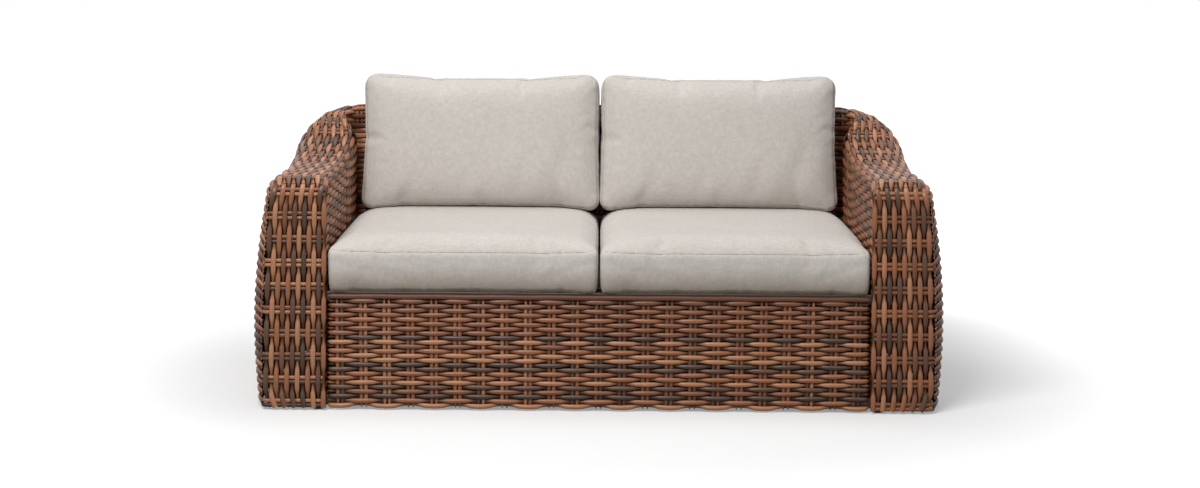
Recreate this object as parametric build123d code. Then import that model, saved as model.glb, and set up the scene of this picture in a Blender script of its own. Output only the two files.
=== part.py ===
from build123d import *
import math
import os

# Two-seat patio sofa of woven resin strand over a welded tube frame, with four loose cushions.
# Millimetres. +Z is up, the seat faces -Y, +X is to the right of someone who looks at the front.
# The origin is on the ground, under the middle of the sofa. Left and right are named the same way.

# Overall sizes
overall_depth = 915.0
seat_width = 1452.0           # between the arms, at the ground end of their inner walls
ground_gap = 12.0             # ground to the lowest strand
arm_height = 623.0
back_rise = 132.0             # top of the arms to the top of the woven back
seat_height = 327.0           # top of the woven deck
corner_radius = 25.0          # inside corner between arm and back

# Woven walls
weave = 8.0                   # thickness of a woven wall
arm_lean = 10.0               # how far the top of an arm's inner wall stands nearer the middle
back_lean = 110.0             # how far the top of the back's inner wall stands further back
belly_share = 0.455           # part of the arm's height at which the outer walls bulge most
arm_foot_depth = 191.0        # inner wall's foot to the outer wall, at the ground
arm_belly_depth = 199.0
arm_shoulder_depth = 161.0    # the same, where the rounded shoulder starts
corner_shoulder_depth = 170.0
back_foot_depth = 205.0
back_belly_depth = 215.0
back_shoulder_depth = 200.0
inner_edge_radius = 22.0
arm_shoulder_radius = 56.0
corner_shoulder_radius = 62.0
back_shoulder_radius = 65.0
front_taper = 40.0            # the outer wall draws in by this towards the arm's front face
front_taper_length = 110.0
front_drop = 25.0             # the top rolls down by this towards the front face
front_drop_length = 40.0
front_foot_share = 0.6        # how much of the taper reaches the foot and the shoulder
front_shoulder_share = 0.4
front_roll_shares = (0.6, 1.0)
front_taper_shares = (0.68, 1.0)
arm_station_shares = (0.60, 0.67, 0.74, 0.81, 0.88, 0.94, 1.0)
arm_rise_shares = (0.0, 0.02, 0.065, 0.12, 0.20, 0.285, 0.386)
corner_turn_shares = (0.0, 0.25, 0.5, 0.75, 1.0)
corner_rise_shares = (0.386, 0.64, 0.85, 0.96, 1.0)
quarter_turn = 90.0

# Front apron and deck
apron_recess = 8.0            # behind the arms' front faces
apron_end_gap = 3.0           # open slot between the apron and each arm
border_height = 11.0
border_proud = 2.0            # the border strand stands this much in front of the apron

# Tube frame
tube = 25.0
tube_wall = 2.0
tube_corner = 3.0
seat_clearance = 0.3          # between a tube and the weave or piece that rests on it
base_rail_lift = 2.0          # tubes sit this much above the lowest strand
outer_post_place = 66.0       # inner post's face to the outer post's face
rear_post_setback = 35.0      # rear posts to the end of the arm's straight part
top_rail_bend_share = 0.637    # of the arm's straight part
top_rail_rise = 28.0
top_rail_bend_radius = 120.0
post_top_drop = 10.0          # post top to rail top
notch_clearance = 0.5         # round a tube that passes through a woven wall
crossbar_shares = (0.25, 0.55)
rib_diameter = 16.0
rib_clearance = 4.0           # from the weave's belly
rib_shares = (0.22, 0.52, 0.82)
back_rail_drop = 43.0         # back height to the middle of its top rail
back_rail_half = 640.0
upright_count = 4
stretcher_count = 4
stretcher_span = 1080.0       # between the middles of the outermost stretchers
shoulder_bend_x = 800.0       # where the tube from arm to back turns
shoulder_bend_radius = 80.0
overrun = 12.0                # by which a piece is made too long before it is trimmed

# Glides
glide_diameter = 30.0
glide_height = 10.0
glide_edge = 2.5
stem_diameter = 8.0
stem_length = 22.0
socket_diameter = 16.0
socket_height = 14.0
socket_flange = 1.5
glide_hub_diameter = 18.0

# Cushions
cover = 1.5
core_gap = 0.3
cushion_gap = 0.3             # least gap to a neighbour
seat_cushion_front = 4.0
seat_cushion_edge = 104.0
seat_cushion_crown = 42.0
back_cushion_width = 692.0
back_cushion_height = 386.0
back_cushion_edge = 158.0
back_cushion_crown = 30.0
cushion_corner = 14.0
cushion_end_round = 16.0
cushion_end_inset = 9.0
round_share = 0.35            # part of the end inset that is left half way round the edge
cushion_draw = 5.0            # sides pull in by this between the corners
cushion_side_bulge = 3.0
crown_place_shares = (0.08, 0.18, 0.32, 0.5, 0.68, 0.82, 0.92)
crown_height_shares = (0.62, 0.83, 0.96, 1.0, 0.95, 0.80, 0.60)
draw_shares = (0.35, 0.7, 0.95, 1.0, 0.95, 0.7, 0.35)
crown_near_end_share = 0.40
crown_end_share = 0.20
rear_corner_cut = 26.0        # how much the seat cushions' rear corners are drawn in

front = -overall_depth / 2
half_seat = seat_width / 2
corner_x = half_seat - corner_radius
back_height = arm_height + back_rise
belly_height = ground_gap + belly_share * (arm_height - ground_gap)
back_wall_place = overall_depth - back_belly_depth    # front of the arms to the foot of the back's inner wall
arm_length = back_wall_place - corner_radius          # straight part of the arm
rear_post_place = arm_length - rear_post_setback
top_rail_bend_place = arm_length * top_rail_bend_share


def blend(a, b, share):
    """Value between a and b, easing in and out."""
    ease = share * share * (3 - 2 * share)
    return a + (b - a) * ease


def arm_station(place, rise_share):
    """Measures of the arm's wall at a distance behind its front face."""
    taper = max(0.0, 1 - place / front_taper_length) ** 2
    drop = max(0.0, 1 - place / front_drop_length) ** 2
    share = place / arm_length
    depth = blend(arm_shoulder_depth, corner_shoulder_depth, share)
    radius = blend(arm_shoulder_radius, corner_shoulder_radius, share)
    return {
        "at": (half_seat, front + place),
        "out": (1.0, 0.0),
        "height": arm_height + back_rise * rise_share - front_drop * drop,
        "lean": -arm_lean,
        "foot": arm_foot_depth - front_taper * taper * front_foot_share,
        "belly": arm_belly_depth - front_taper * taper,
        "shoulder": depth - front_taper * taper * front_shoulder_share,
        "radius": radius,
    }


def corner_station(turn_share, rise_share):
    """Measures of the wall where it turns from the arm into the back."""
    turn = math.radians(quarter_turn * turn_share)
    out = (math.cos(turn), math.sin(turn))
    return {
        "at": (corner_x + corner_radius * out[0], front + arm_length + corner_radius * out[1]),
        "out": out,
        "height": arm_height + back_rise * rise_share,
        "lean": blend(-arm_lean, back_lean, turn_share),
        "foot": blend(arm_foot_depth, back_foot_depth, turn_share),
        "belly": blend(arm_belly_depth, back_belly_depth, turn_share),
        "shoulder": blend(corner_shoulder_depth, back_shoulder_depth, turn_share),
        "radius": blend(corner_shoulder_radius, back_shoulder_radius, turn_share),
    }


def wall_line(station, inset):
    """Edges from the inner foot over the top to the outer foot, drawn inwards by inset."""
    lean = math.atan2(station["lean"], station["height"] - ground_gap)
    top = station["height"] - inset
    round_in = inner_edge_radius - inset
    round_out = station["radius"] - inset
    foot_in = inset / math.cos(lean)
    centre_x = foot_in + math.tan(lean) * (top - round_in - ground_gap) + round_in / math.cos(lean)
    centre_z = top - round_in
    start_turn = math.pi - lean
    middle_turn = (start_turn + math.pi / 2) / 2
    foot = (foot_in, ground_gap)
    edge_start = (centre_x + round_in * math.cos(start_turn), centre_z + round_in * math.sin(start_turn))
    edge_middle = (centre_x + round_in * math.cos(middle_turn), centre_z + round_in * math.sin(middle_turn))
    edge_end = (centre_x, top)
    wall = station["shoulder"] - inset
    diagonal = round_out * math.sqrt(0.5)
    shoulder_start = (wall - round_out, top)
    shoulder_middle = (wall - round_out + diagonal, top - round_out + diagonal)
    shoulder_end = (wall, top - round_out)
    belly = (station["belly"] - inset, belly_height)
    outer_foot = (station["foot"] - inset, ground_gap)
    edges = [
        Line(foot, edge_start),
        ThreePointArc(edge_start, edge_middle, edge_end),
        Line(edge_end, shoulder_start),
        ThreePointArc(shoulder_start, shoulder_middle, shoulder_end),
        ThreePointArc(shoulder_end, belly, outer_foot),
    ]
    return edges, foot, outer_foot


def station_plane(station):
    """Upright plane across the wall: its X points outwards and its Y up."""
    out = Vector(station["out"][0], station["out"][1], 0)
    return Plane(origin=(*station["at"], 0), x_dir=out, z_dir=out.cross(Vector(0, 0, 1)))


def band_face(station):
    """Section of the woven wall: inner face, rolled top and outer face."""
    outside, foot, outer_foot = wall_line(station, 0.0)
    inside, inner_foot, inner_outer_foot = wall_line(station, weave)
    closing = [Line(foot, inner_foot), Line(outer_foot, inner_outer_foot)]
    return station_plane(station) * make_face(Wire(outside + inside + closing).edges())


def filled_face(station):
    """Whole section, for the woven panel that closes the arm's front."""
    outside, foot, outer_foot = wall_line(station, 0.0)
    return station_plane(station) * make_face(Wire(outside + [Line(foot, outer_foot)]).edges())


def tube_profile():
    """Section of the square tube, with rounded corners and a bore."""
    bore = tube - 2 * tube_wall
    bore_corner = tube_corner - tube_wall
    return RectangleRounded(tube, tube, tube_corner) - RectangleRounded(bore, bore, bore_corner)


def hollow_tube(start, end, across=(1, 0, 0)):
    """Square tube between two points."""
    start = Vector(*start)
    run = Vector(*end) - start
    plane = Plane(origin=start, x_dir=across, z_dir=run)
    return extrude(plane * tube_profile(), amount=run.length)


def box_between(low, high):
    """Upright box between its lowest and highest corners."""
    sides = [b - a for a, b in zip(low, high)]
    middle = [(a + b) / 2 for a, b in zip(low, high)]
    return Pos(*middle) * Box(*sides)


def inner_wall_x(height):
    """Half width between the arms at a height."""
    return half_seat - arm_lean * (height - ground_gap) / (arm_height - ground_gap)


def inner_wall_y(height):
    """Place of the back's inner wall at a height."""
    share = (height - ground_gap) / (back_height - ground_gap)
    return front + back_wall_place + back_lean * share


# Places that several tubes share
half_tube = tube / 2
post_x = half_seat + weave + seat_clearance + half_tube
outer_post_x = post_x + outer_post_place
base_z = ground_gap + base_rail_lift + half_tube
base_top = base_z + half_tube
deck_bottom = seat_height - weave
seat_rail_z = deck_bottom - half_tube
front_post_y = front + apron_recess + weave + seat_clearance + half_tube
rear_post_y = front + rear_post_place + half_tube
top_rail_top = arm_height - weave - seat_clearance
top_rail_z = top_rail_top - half_tube
post_top = top_rail_top - post_top_drop
rear_rail_z = top_rail_z + top_rail_rise
back_rail_z = back_height - back_rail_drop
rear_rail_slope = math.atan2(top_rail_rise, rear_post_place + tube - top_rail_bend_place)
rear_rail_under_z = rear_rail_z - half_tube / math.cos(rear_rail_slope) - tube * math.tan(rear_rail_slope)
back_rake = math.atan2(back_lean, back_height - ground_gap)
wall_to_tube = (weave + seat_clearance) / math.cos(back_rake)
back_rail_y = inner_wall_y(back_rail_z + half_tube) + wall_to_tube + half_tube
rear_base_y = inner_wall_y(base_top) + wall_to_tube + half_tube
base_end_y = rear_base_y + half_tube
rib_belly_x = half_seat + arm_belly_depth - weave - rib_clearance - rib_diameter / 2


def mirrored(shape):
    """The same piece on the left."""
    return mirror(shape, about=Plane.YZ)


def arm_frame():
    """Tubes of the right arm."""
    front_face = front_post_y - half_tube
    rear_face = rear_post_y + half_tube
    rail_start = front_post_y + half_tube
    rail_end = rear_post_y + half_tube
    pieces = {}
    for name, x, base_end in (
        ("inner", post_x, base_end_y),
        ("outer", outer_post_x, rear_face),
    ):
        pieces[f"{name}_base_rail"] = hollow_tube((x, front_face, base_z), (x, base_end, base_z))
        pieces[f"front_{name}_post"] = hollow_tube((x, front_post_y, base_top), (x, front_post_y, post_top))
        foot = (x, rear_post_y, base_top)
        head = (x, rear_post_y, rear_rail_under_z)
        pieces[f"rear_{name}_post"] = hollow_tube(foot, head)
        path = FilletPolyline(
            (x, rail_start, top_rail_z),
            (x, front + top_rail_bend_place, top_rail_z),
            (x, rail_end, rear_rail_z),
            radius=top_rail_bend_radius,
        )
        start_plane = Plane(origin=(x, rail_start, top_rail_z), x_dir=(1, 0, 0), z_dir=(0, 1, 0))
        pieces[f"{name}_top_rail"] = sweep(start_plane * tube_profile(), path=path)
    pieces["base_crossbars"] = arm_crossbars((front_post_y, rear_post_y), base_z)
    pieces["top_crossbars"] = arm_crossbars(arm_places(crossbar_shares), top_rail_z)
    pieces["ribs"] = Compound(children=[arm_rib(y) for y in arm_places(rib_shares)])
    pieces["shoulder_tube"] = shoulder_tube()
    return pieces


def arm_places(shares):
    """Places along the arm's straight part."""
    return [front + arm_length * share for share in shares]


def arm_crossbars(places, height):
    """Short tubes from the arm's inner side to its outer side."""
    inside = post_x + half_tube
    outside = outer_post_x - half_tube
    bars = [hollow_tube((inside, y, height), (outside, y, height), (0, 1, 0)) for y in places]
    return Compound(children=bars)


def arm_rib(y):
    """Bowed rod from the outer base rail to the outer top rail, which holds the belly of the weave."""
    low_z = base_top
    high_z = top_rail_z - half_tube
    spine_middle = (rib_belly_x, y, belly_height)
    full = ThreePointArc((outer_post_x, y, low_z), spine_middle, (outer_post_x, y, high_z))
    start_plane = Plane(origin=full @ 0, z_dir=full % 0)
    rod = sweep(start_plane * Circle(rib_diameter / 2), path=full)
    outermost = half_seat + arm_belly_depth
    keep = box_between((half_seat, y - tube, low_z), (outermost, y + tube, high_z))
    return rod & keep


def shoulder_tube():
    """Bent round tube from the end of the outer top rail to the back's top rail."""
    rail_end = rear_post_y + half_tube
    start = Vector(outer_post_x, rail_end, rear_rail_z)
    bend = Vector(shoulder_bend_x, back_rail_y, (rear_rail_z + back_rail_z) / 2)
    end = Vector(back_rail_half, back_rail_y, back_rail_z)
    early = start - (bend - start).normalized() * overrun
    late = end + (end - bend).normalized() * overrun
    path = FilletPolyline(early, bend, late, radius=shoulder_bend_radius)
    start_plane = Plane(origin=path @ 0, z_dir=path % 0)
    ring = Circle(half_tube) - Circle(half_tube - tube_wall)
    bent = sweep(start_plane * ring, path=path)
    rail_face = rail_end + half_tube * math.sin(rear_rail_slope)
    low = (back_rail_half, rail_face, rear_rail_z - tube)
    high = (outer_post_x + tube, back_rail_y + tube, back_rail_z + tube)
    return bent & box_between(low, high)


def cross_rail(y, z):
    """Tube that runs from arm to arm."""
    span = post_x - half_tube
    return hollow_tube((-span, y, z), (span, y, z), (0, 1, 0))


def seat_frame():
    """Cross rails between the arms, and the stretchers that carry the deck."""
    pieces = {
        "front_base_rail": cross_rail(front_post_y, base_z),
        "rear_base_rail": cross_rail(rear_base_y, base_z),
        "front_seat_rail": cross_rail(front_post_y, seat_rail_z),
        "rear_seat_rail": cross_rail(rear_post_y, seat_rail_z),
    }
    low_y = front_post_y + half_tube
    high_y = rear_post_y - half_tube
    step = stretcher_span / (stretcher_count - 1)
    xs = [step * index - stretcher_span / 2 for index in range(stretcher_count)]
    rails = [hollow_tube((x, low_y, seat_rail_z), (x, high_y, seat_rail_z)) for x in xs]
    pieces["seat_stretchers"] = Compound(children=rails)
    return pieces


def back_frame():
    """Top rail of the back and the raked uprights under it."""
    ends = ((-back_rail_half, back_rail_y, back_rail_z), (back_rail_half, back_rail_y, back_rail_z))
    pieces = {"back_top_rail": hollow_tube(ends[0], ends[1], (0, 1, 0))}
    outermost = back_rail_half - half_tube
    step = 2 * outermost / (upright_count - 1)
    low_z = base_top
    high_z = back_rail_z - half_tube
    reach = wall_to_tube + half_tube / math.cos(back_rake)
    uprights = []
    for index in range(upright_count):
        x = step * index - outermost
        start = (x, inner_wall_y(low_z - overrun) + reach, low_z - overrun)
        end = (x, inner_wall_y(back_rail_z) + reach, back_rail_z)
        keep = box_between((x - tube, front, low_z), (x + tube, -front, high_z))
        uprights.append(hollow_tube(start, end) & keep)
    pieces["back_uprights"] = Compound(children=uprights)
    return pieces


def glide_places():
    """The four places under the arms' inner base rails."""
    ends = {"front": front_post_y, "rear": rear_base_y}
    sides = {"left": -post_x, "right": post_x}
    return {f"{end}_{side}": (x, y) for end, y in ends.items() for side, x in sides.items()}


def glide(x, y):
    """Round plastic foot with its stem."""
    hub_height = base_z - half_tube - socket_flange - glide_height
    foot = Cylinder(glide_diameter / 2, glide_height, align=(Align.CENTER, Align.CENTER, Align.MIN))
    foot = fillet(foot.edges().sort_by(Axis.Z)[:1], glide_edge)
    hub = Pos(0, 0, glide_height) * Cylinder(
        glide_hub_diameter / 2, hub_height, align=(Align.CENTER, Align.CENTER, Align.MIN)
    )
    stem_place = glide_height + hub_height
    stem = Pos(0, 0, stem_place) * Cylinder(
        stem_diameter / 2, stem_length, align=(Align.CENTER, Align.CENTER, Align.MIN)
    )
    return Pos(x, y, 0) * (foot + hub + stem)


def socket(x, y):
    """Plastic sleeve in the base rail, which takes a glide's stem."""
    low = base_z - half_tube
    sleeve = Pos(0, 0, low) * Cylinder(
        socket_diameter / 2, socket_height, align=(Align.CENTER, Align.CENTER, Align.MIN)
    )
    flange = Pos(0, 0, low - socket_flange) * Cylinder(
        glide_hub_diameter / 2, socket_flange, align=(Align.CENTER, Align.CENTER, Align.MIN)
    )
    bore_height = socket_flange + socket_height
    bore = Pos(0, 0, low - socket_flange) * Cylinder(
        stem_diameter / 2 + seat_clearance, bore_height, align=(Align.CENTER, Align.CENTER, Align.MIN)
    )
    return Pos(x, y, 0) * (sleeve + flange - bore)


def socket_hole(x, y):
    """Hole through the rail's lower wall for a socket."""
    low = base_z - tube / 2 - overrun / 2
    hole = Cylinder(socket_diameter / 2, overrun, align=(Align.CENTER, Align.CENTER, Align.MIN))
    return Pos(x, y, low) * hole


def wall_notches():
    """Room in the right arm's inner wall for the cross rails that pass through it."""
    reach = half_tube + notch_clearance
    low_x = inner_wall_x(arm_height) - arm_lean
    high_x = post_x - half_tube + seat_clearance
    notches = []
    for y, z in ((front_post_y, base_z), (front_post_y, seat_rail_z), (rear_post_y, seat_rail_z)):
        notches.append(box_between((low_x, y - reach, z - reach), (high_x, y + reach, z + reach)))
    return notches


def arm_weave():
    """Woven skin of the right arm: inner wall, rolled top and bulging outer wall."""
    places = [weave] + [front_drop_length * share for share in front_roll_shares]
    places += [front_taper_length * share for share in front_taper_shares]
    stations = [arm_station(place, 0.0) for place in places]
    pairs = zip(arm_station_shares, arm_rise_shares)
    stations += [arm_station(arm_length * share, rise_share) for share, rise_share in pairs]
    skin = loft([band_face(station) for station in stations], ruled=True)
    for notch in wall_notches():
        skin -= notch
    return skin


def arm_front_weave():
    """Woven panel that closes the front of the right arm."""
    panel = loft([filled_face(arm_station(place, 0.0)) for place in (0.0, weave)], ruled=True)
    return panel


def corner_weave():
    """Woven skin of the right rear corner, which rises from the arm to the back."""
    pairs = zip(corner_turn_shares, corner_rise_shares)
    return loft([band_face(corner_station(turn, share)) for turn, share in pairs])


def back_weave():
    """Woven skin of the back, between the two corners."""
    return extrude(band_face(corner_station(1.0, 1.0)), amount=-2 * corner_x)


def apron():
    """Woven panel under the seat, between the arms."""
    half = inner_wall_x(seat_height) - apron_end_gap
    low_y = front + apron_recess
    return box_between((-half, low_y, ground_gap), (half, low_y + weave, seat_height - border_height))


def apron_border():
    """Flat strand along the top of the apron."""
    half = inner_wall_x(seat_height) - apron_end_gap
    low_y = front + apron_recess - border_proud
    high_y = front + apron_recess + weave
    strand = box_between((-half, low_y, seat_height - border_height), (half, high_y, seat_height))
    return fillet(strand.edges().filter_by(Axis.X).group_by(Axis.Y)[0], border_proud)


def seat_deck():
    """Woven deck that the seat cushions lie on."""
    half = inner_wall_x(seat_height) - seat_clearance
    low_y = front + apron_recess + weave + seat_clearance
    high_y = inner_wall_y(deck_bottom) - seat_clearance
    deck = box_between((-half, low_y, deck_bottom), (half, high_y, seat_height))
    return fillet(deck.edges().filter_by(Axis.Z).group_by(Axis.Y)[-1], corner_radius)


def cushion_section(y, half_width, low, high, crown, corner):
    """Upright section of a cushion: flat below, full at the sides, crowned above."""
    middle = (low + high) / 2
    diagonal = corner * (1 - math.sqrt(0.5))
    side = half_width - cushion_side_bulge
    inner = side - corner
    edges = [Line((-inner, low), (inner, low))]
    edges.append(ThreePointArc((inner, low), (side - diagonal, low + diagonal), (side, low + corner)))
    edges.append(ThreePointArc((side, low + corner), (half_width, middle), (side, high - corner)))
    edges.append(ThreePointArc((side, high - corner), (side - diagonal, high - diagonal), (inner, high)))
    edges.append(ThreePointArc((inner, high), (0, high + crown), (-inner, high)))
    edges.append(ThreePointArc((-inner, high), (diagonal - side, high - diagonal), (-side, high - corner)))
    edges.append(ThreePointArc((-side, high - corner), (-half_width, middle), (-side, low + corner)))
    edges.append(ThreePointArc((-side, low + corner), (diagonal - side, low + diagonal), (-inner, low)))
    plane = Plane(origin=(0, y, 0), x_dir=(1, 0, 0), z_dir=(0, -1, 0))
    return plane * make_face(Wire(edges).edges())


def cushion_form(width, length, edge, crown, far_cut, inset=0.0):
    """Cushion lying on its flat side, its length along +Y, drawn in all round by inset."""
    half = width / 2 - inset
    corner = cushion_corner - inset
    low = inset
    high = edge - inset
    places = [inset, cushion_end_inset / 2, cushion_end_round]
    places += [length * share for share in crown_place_shares]
    places += [length - cushion_end_round, length - cushion_end_inset / 2, length - inset]
    end_heights = [crown_end_share, (crown_end_share + crown_near_end_share) / 2, crown_near_end_share]
    heights = [*end_heights, *crown_height_shares, *reversed(end_heights)]
    draws = [cushion_draw * share for share in draw_shares]
    near_cuts = [cushion_end_inset, cushion_end_inset * round_share, 0.0]
    cuts = [*near_cuts, *draws, 0.0, far_cut * round_share, far_cut]
    rounds = [*near_cuts, *(0.0 for share in draw_shares), *reversed(near_cuts)]
    sections = []
    for place, height, cut, pulled in zip(places, heights, cuts, rounds):
        sections.append(
            cushion_section(place, half - cut, low + pulled, high - pulled, crown * height, corner)
        )
    return loft(sections, ruled=True)


def cushion_pair(place, width, length, edge, crown, far_cut):
    """Cover and core of one cushion."""
    outside = cushion_form(width, length, edge, crown, far_cut)
    hollow = cushion_form(width, length, edge, crown, far_cut, cover)
    core = cushion_form(width, length, edge, crown, far_cut, cover + core_gap)
    return place * (outside - hollow), place * core


def seat_cushions():
    """The two seat cushions, each as wide as half the seat."""
    widest = inner_wall_x(seat_height + seat_cushion_edge) - cushion_gap
    width = widest - cushion_gap
    middle = (widest + cushion_gap) / 2
    back_y = inner_wall_y(seat_height + cushion_end_inset) - cushion_gap
    start_y = front + seat_cushion_front
    length = back_y - start_y
    pieces = {}
    for side, x in (("left", -middle), ("right", middle)):
        place = Pos(x, start_y, seat_height + cushion_gap)
        pair = cushion_pair(place, width, length, seat_cushion_edge, seat_cushion_crown, rear_corner_cut)
        pieces[f"seat_cushion_{side}_cover"], pieces[f"seat_cushion_{side}_foam"] = pair
    return pieces


def back_cushions():
    """The two back cushions, leaning against the back on top of the seat cushions."""
    middle = cushion_gap + back_cushion_width / 2
    thickness = back_cushion_edge + back_cushion_crown
    seat_top = seat_height + cushion_gap + seat_cushion_edge + seat_cushion_crown
    foot_z = seat_top + cushion_gap - thickness * math.sin(back_rake)
    foot_y = inner_wall_y(foot_z) - cushion_gap / math.cos(back_rake)
    pieces = {}
    for side, x in (("left", -middle), ("right", middle)):
        place = Pos(x, foot_y, foot_z) * Rot(quarter_turn - math.degrees(back_rake), 0, 0)
        sizes = (back_cushion_width, back_cushion_height, back_cushion_edge, back_cushion_crown)
        pair = cushion_pair(place, *sizes, cushion_end_inset)
        pieces[f"back_cushion_{side}_cover"], pieces[f"back_cushion_{side}_filling"] = pair
    return pieces


def all_pieces():
    """Every piece by its name."""
    pieces = {}
    for name, shape in arm_frame().items():
        pieces[f"right_{name}"] = shape
    pieces["right_arm_weave"] = arm_weave()
    pieces["right_arm_front_weave"] = arm_front_weave()
    pieces["right_corner_weave"] = corner_weave()
    for name, shape in list(pieces.items()):
        pieces[name.replace("right", "left", 1)] = mirrored(shape)
    pieces.update(seat_frame())
    pieces.update(back_frame())
    pieces["back_weave"] = back_weave()
    pieces["front_apron_weave"] = apron()
    pieces["apron_border"] = apron_border()
    pieces["seat_deck"] = seat_deck()
    sockets = []
    for name, (x, y) in glide_places().items():
        pieces[f"{name}_glide"] = glide(x, y)
        sockets.append(socket(x, y))
        rail = name.split("_")[1] + "_inner_base_rail"
        pieces[rail] = pieces[rail] - socket_hole(x, y)
    pieces["glide_sockets"] = Compound(children=sockets)
    pieces.update(seat_cushions())
    pieces.update(back_cushions())
    return pieces


def main():
    os.makedirs("parts", exist_ok=True)
    for name, shape in all_pieces().items():
        export_step(shape, f"parts/{name}.step")


if __name__ == "__main__":
    main()
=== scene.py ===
import math
import bpy
import numpy as np
from mathutils import Euler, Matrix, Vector
from mathutils.kdtree import KDTree

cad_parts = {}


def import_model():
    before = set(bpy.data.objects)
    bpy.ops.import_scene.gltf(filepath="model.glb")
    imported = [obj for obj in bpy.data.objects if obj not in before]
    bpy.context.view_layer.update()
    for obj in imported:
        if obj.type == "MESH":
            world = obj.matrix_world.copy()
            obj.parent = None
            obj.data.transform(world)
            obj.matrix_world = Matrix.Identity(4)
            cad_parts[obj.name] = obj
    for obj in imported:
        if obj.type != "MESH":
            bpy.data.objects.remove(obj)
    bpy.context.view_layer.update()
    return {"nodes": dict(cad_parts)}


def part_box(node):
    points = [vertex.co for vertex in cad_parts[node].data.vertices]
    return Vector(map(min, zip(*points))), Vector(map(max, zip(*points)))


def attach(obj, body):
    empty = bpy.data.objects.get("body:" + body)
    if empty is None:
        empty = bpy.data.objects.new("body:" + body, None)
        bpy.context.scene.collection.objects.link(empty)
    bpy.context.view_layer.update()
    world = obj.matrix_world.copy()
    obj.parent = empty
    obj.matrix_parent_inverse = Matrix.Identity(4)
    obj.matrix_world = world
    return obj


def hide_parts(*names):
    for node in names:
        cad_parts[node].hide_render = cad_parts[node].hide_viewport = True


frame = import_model()

# The woven walls follow the same measures as the solids, here in metres.
DEPTH = 0.915
SEAT_WIDTH = 1.452
GROUND_GAP = 0.012
ARM_HEIGHT = 0.623
BACK_HEIGHT = 0.755
ARM_LENGTH = 0.675
BACK_WALL = 0.700
CORNER_RADIUS = 0.025
ARM_LEAN = 0.010
BACK_LEAN = 0.110
BELLY_HEIGHT = 0.290
FOOT = (0.191, 0.205)  # arm, back
BELLY = (0.199, 0.215)
SHOULDER = (0.161, 0.200)
SHOULDER_AT_CORNER = 0.170
EDGE_RADIUS = 0.022
SHOULDER_RADIUS = (0.056, 0.062, 0.065)  # arm front, corner, back
TAPER = 0.040
TAPER_LENGTH = 0.110
DROP = 0.025
DROP_LENGTH = 0.040
FOOT_TAPER_SHARE = 0.6
SHOULDER_TAPER_SHARE = 0.4
ARM_SHARES = (0.0, 0.60, 0.67, 0.74, 0.81, 0.88, 0.94, 1.0)
ARM_RISES = (0.0, 0.0, 0.02, 0.065, 0.12, 0.20, 0.285, 0.386)
TURN_SHARES = (0.0, 0.25, 0.5, 0.75, 1.0)
TURN_RISES = (0.386, 0.64, 0.85, 0.96, 1.0)
FRONT = -DEPTH / 2
HALF_SEAT = SEAT_WIDTH / 2
CORNER_X = HALF_SEAT - CORNER_RADIUS
RISE = BACK_HEIGHT - ARM_HEIGHT

# Strands
SINK = 0.0050  # middle of the weave, below the solids' outer face
DENSE_PITCH = 0.0127
# Width of a strand against its pitch, how much wider it is over than under the stakes, and how much
# wider at both than between them
OPEN_SHAPE = (0.91, 0.17, 0.0)
TOP_SHAPE = (0.93, 0.19, 0.0)
CLOSE_SHAPE = (0.92, 0.05, 0.07)
SHUT_SHAPE = (0.98, 0.0, 0.17)
WEAVE_FOOT = 0.0075  # height of the lowest strand's lower edge
MIN_PITCH = 0.0085
DENSE_THICK = 0.0064
STAKE_WIDTH = 0.0110
STAKE_THICK = 0.0052
STAKE_HALF_GAP = 0.0062
WAVE = 0.0034  # how far a strand rises over and sinks under the stakes
ROW_STEP = 0.0085  # spacing of the points along a strand
TOP_STRANDS = 12
INNER_STRANDS = 46
OUTER_STRANDS = 50
ARM_STAKES = 11
CORNER_STAKES_OUTSIDE = 5
CORNER_STAKES_INSIDE = 1
BACK_STAKES = 23
LEFT_TOP_TONES = (0.50, 0.92, 0.80, 0.40, 0.06, 0.78, 0.94, 0.45, 0.66, 0.42, 0.80, 0.90)
RIGHT_TOP_TONES = (0.42, 0.66, 0.78, 0.05, 0.50, 0.93, 0.45, 0.80, 0.64, 0.40, 0.90, 0.50)
FRONT_STAKE_PITCH = 0.0628
FRONT_FIRST_STAKE = 0.19  # share of a stake's pitch by which the front's bend leads
RING = 8  # points round a strand
RING_POWER = 0.9  # how square its cross-section is, 1 for round
WAVE_POWER = 0.72  # how long it stays up or down, 1 for a cosine
SWELL_POWER = 0.45  # and how long it stays wide
SLOW_WAVE = (0.02, 9, 1.7)  # slow change of its width: share, angle over its length, shift to the next
STAKE_GAP_LIMIT = 0.22  # of the stakes' pitch
TOP_SHIFT_SHARE = 0.10  # of the shoulder's radius: the top strands lie this far out from the flat's middle
EDGE_POINTS = 12
TOP_POINTS = 10
SHOULDER_POINTS = 16
SIDE_POINTS = 60
WALL_STAKE_KEY = 300  # seeds of the tones
FRONT_STAKE_KEY = 611
APRON_KEY = 900
DECK_KEY = 1400


def unit(vectors):
    return vectors / np.maximum(np.linalg.norm(vectors, axis=-1, keepdims=True), 1e-9)


def run_along(points):
    """Distances of a line's points from its start, along it."""
    return np.concatenate([[0], np.cumsum(np.linalg.norm(np.diff(points, axis=0), axis=1))])


def show(name, data):
    """A new object in the scene."""
    piece = bpy.data.objects.new(name, data)
    bpy.context.scene.collection.objects.link(piece)
    return piece


def squarer(swing, power):
    """A swing between -1 and 1 that stays near its ends for longer, the lower the power."""
    return np.sign(swing) * np.abs(swing) ** power


def wave(phase):
    """Rise and fall of a strand over the stakes, a little flatter than a cosine."""
    return squarer(np.cos(math.pi * phase), WAVE_POWER)


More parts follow.
